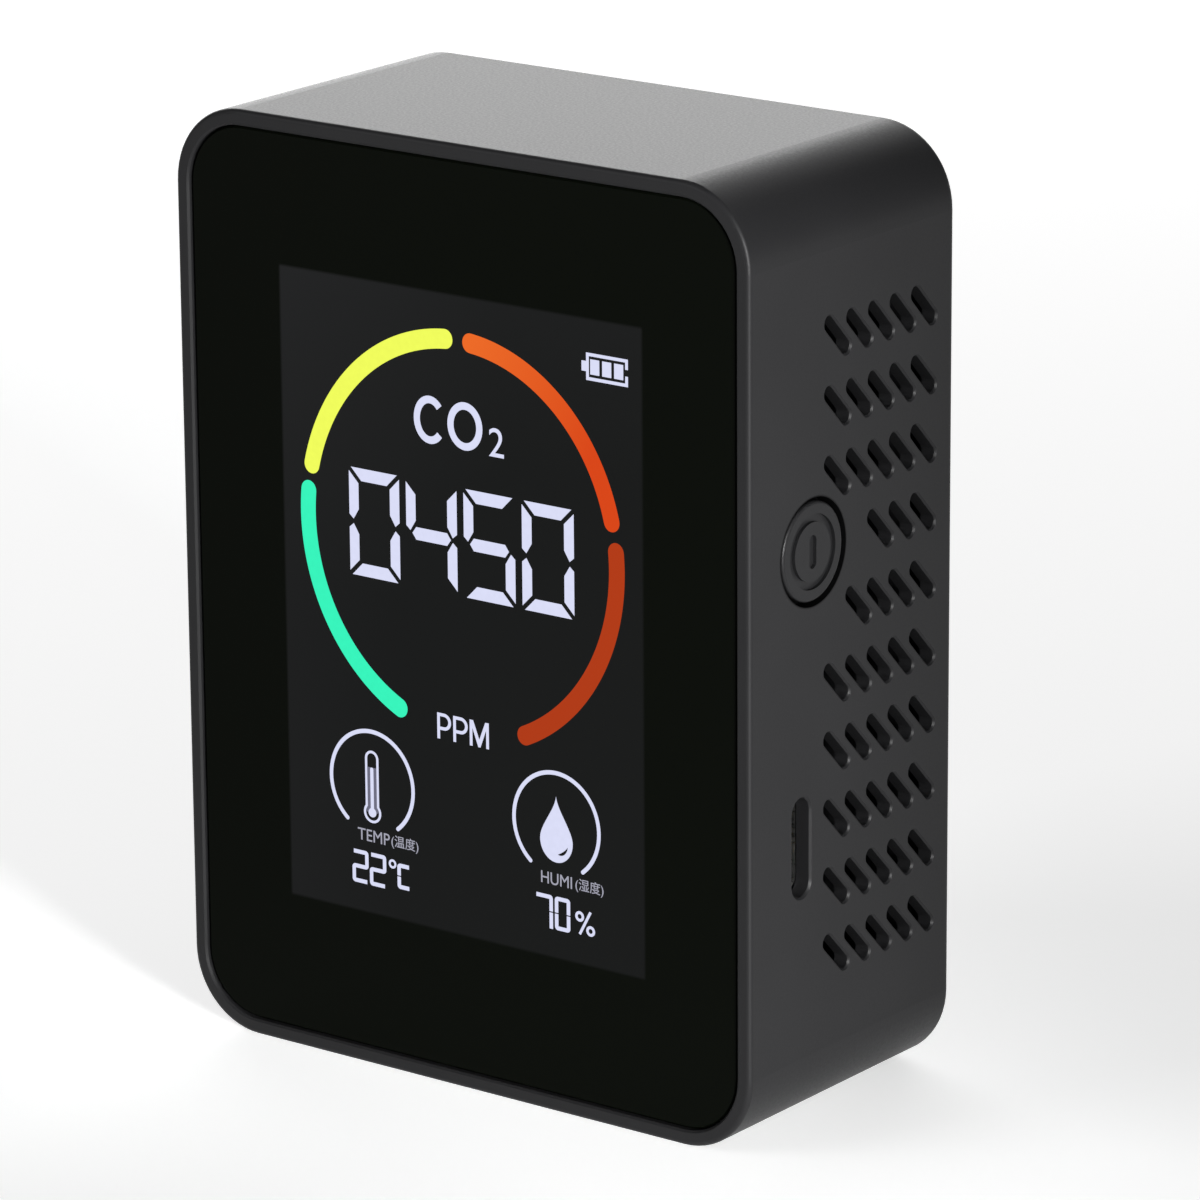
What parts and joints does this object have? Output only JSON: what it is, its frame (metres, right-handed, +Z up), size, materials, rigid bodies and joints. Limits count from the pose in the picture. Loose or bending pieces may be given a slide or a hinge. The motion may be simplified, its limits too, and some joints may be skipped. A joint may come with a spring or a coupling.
{
  "type": "carbon dioxide monitor",
  "caption": "Upright desktop air monitor with rounded corners, a smoked front lens over a colour display, slanted side vents, a charging port and a side push button.",
  "frame": {"origin": "centre of the flat base, on the surface it stands on", "axes": "+Z up, +Y from the display to the back, +X to the right side as seen from the front, where the button and the port are"},
  "size_m": [0.0654, 0.032, 0.09],
  "materials": {
    "case_plastic": "fine satin texture",
    "lens_black": "smoked, polished",
    "button_plastic": "fine satin texture",
    "cover_plastic": "fine satin texture",
    "black_tape": "matt",
    "display_film": "satin",
    "display_glass": "polished",
    "light_guide": "polished",
    "tray_plastic": "satin",
    "ribbon_film": "amber film",
    "socket_plastic": "satin",
    "board_laminate": "solder mask",
    "sensor_laminate": "solder mask",
    "screw_steel": "plated",
    "screw_black": "black oxide",
    "chip_resin": "moulded resin",
    "can_steel": "satin",
    "inductor_ferrite": "sintered",
    "capacitor_ceramic": "satin",
    "pin_brass": "plated",
    "chamber_brass": "plated",
    "filter_cloth": "fine membrane",
    "buzzer_plastic": "satin",
    "plunger_plastic": "satin",
    "cell_foil": "laminated foil",
    "white_tape": "matt",
    "lead_red": "satin",
    "lead_black": "satin",
    "plug_plastic": "satin",
    "lit_white": "lit display mark",
    "lit_yellow": "lit display mark",
    "lit_orange": "lit display mark",
    "lit_amber": "lit display mark",
    "lit_green": "lit display mark"
  },
  "bodies": {
    "case": {"housing": "case_plastic", "front_lens": "lens_black", "lens_tape": "black_tape", "display_film": "display_film", "display_glass": "display_glass", "backlight": "light_guide", "display_tray": "tray_plastic", "display_ribbon": "ribbon_film", "ribbon_socket": "socket_plastic", "main_board": "board_laminate", "board_screws": "screw_steel", "controller_chip": "chip_resin", "clock_crystal": "can_steel", "charger_chip": "chip_resin", "power_inductor": "inductor_ferrite", "chip_capacitors": "capacitor_ceramic", "climate_sensor": "chip_resin", "sensor_board": "sensor_laminate", "sensor_pins": "pin_brass", "sensor_chamber": "chamber_brass", "sensor_lid": "chamber_brass", "sensor_filter": "filter_cloth", "buzzer": "buzzer_plastic", "switch_body": "can_steel", "port_shell": "can_steel", "port_tongue": "tray_plastic", "battery_cell": "cell_foil", "battery_tape": "white_tape", "battery_lead_red": "lead_red", "battery_lead_black": "lead_black", "battery_plug": "plug_plastic", "battery_socket": "plug_plastic", "rear_cover": "cover_plastic", "cover_screws": "screw_black"},
    "button": {"power_button": "button_plastic"},
    "plunger": {"switch_plunger": "plunger_plastic"}
  },
  "joints": [
    {"name": "button_press", "type": "slide", "parent": "case", "child": "button", "axis": [-1, 0, 0], "range_m": [0, 0.00035], "stiffness_N_per_m": 4000},
    {"name": "plunger_press", "type": "slide", "parent": "case", "child": "plunger", "axis": [-1, 0, 0], "range_m": [0, 0.00035]}
  ],
  "couplings": [
    {"joint": "plunger_press", "follows": "button_press", "ratio": 1}
  ]
}
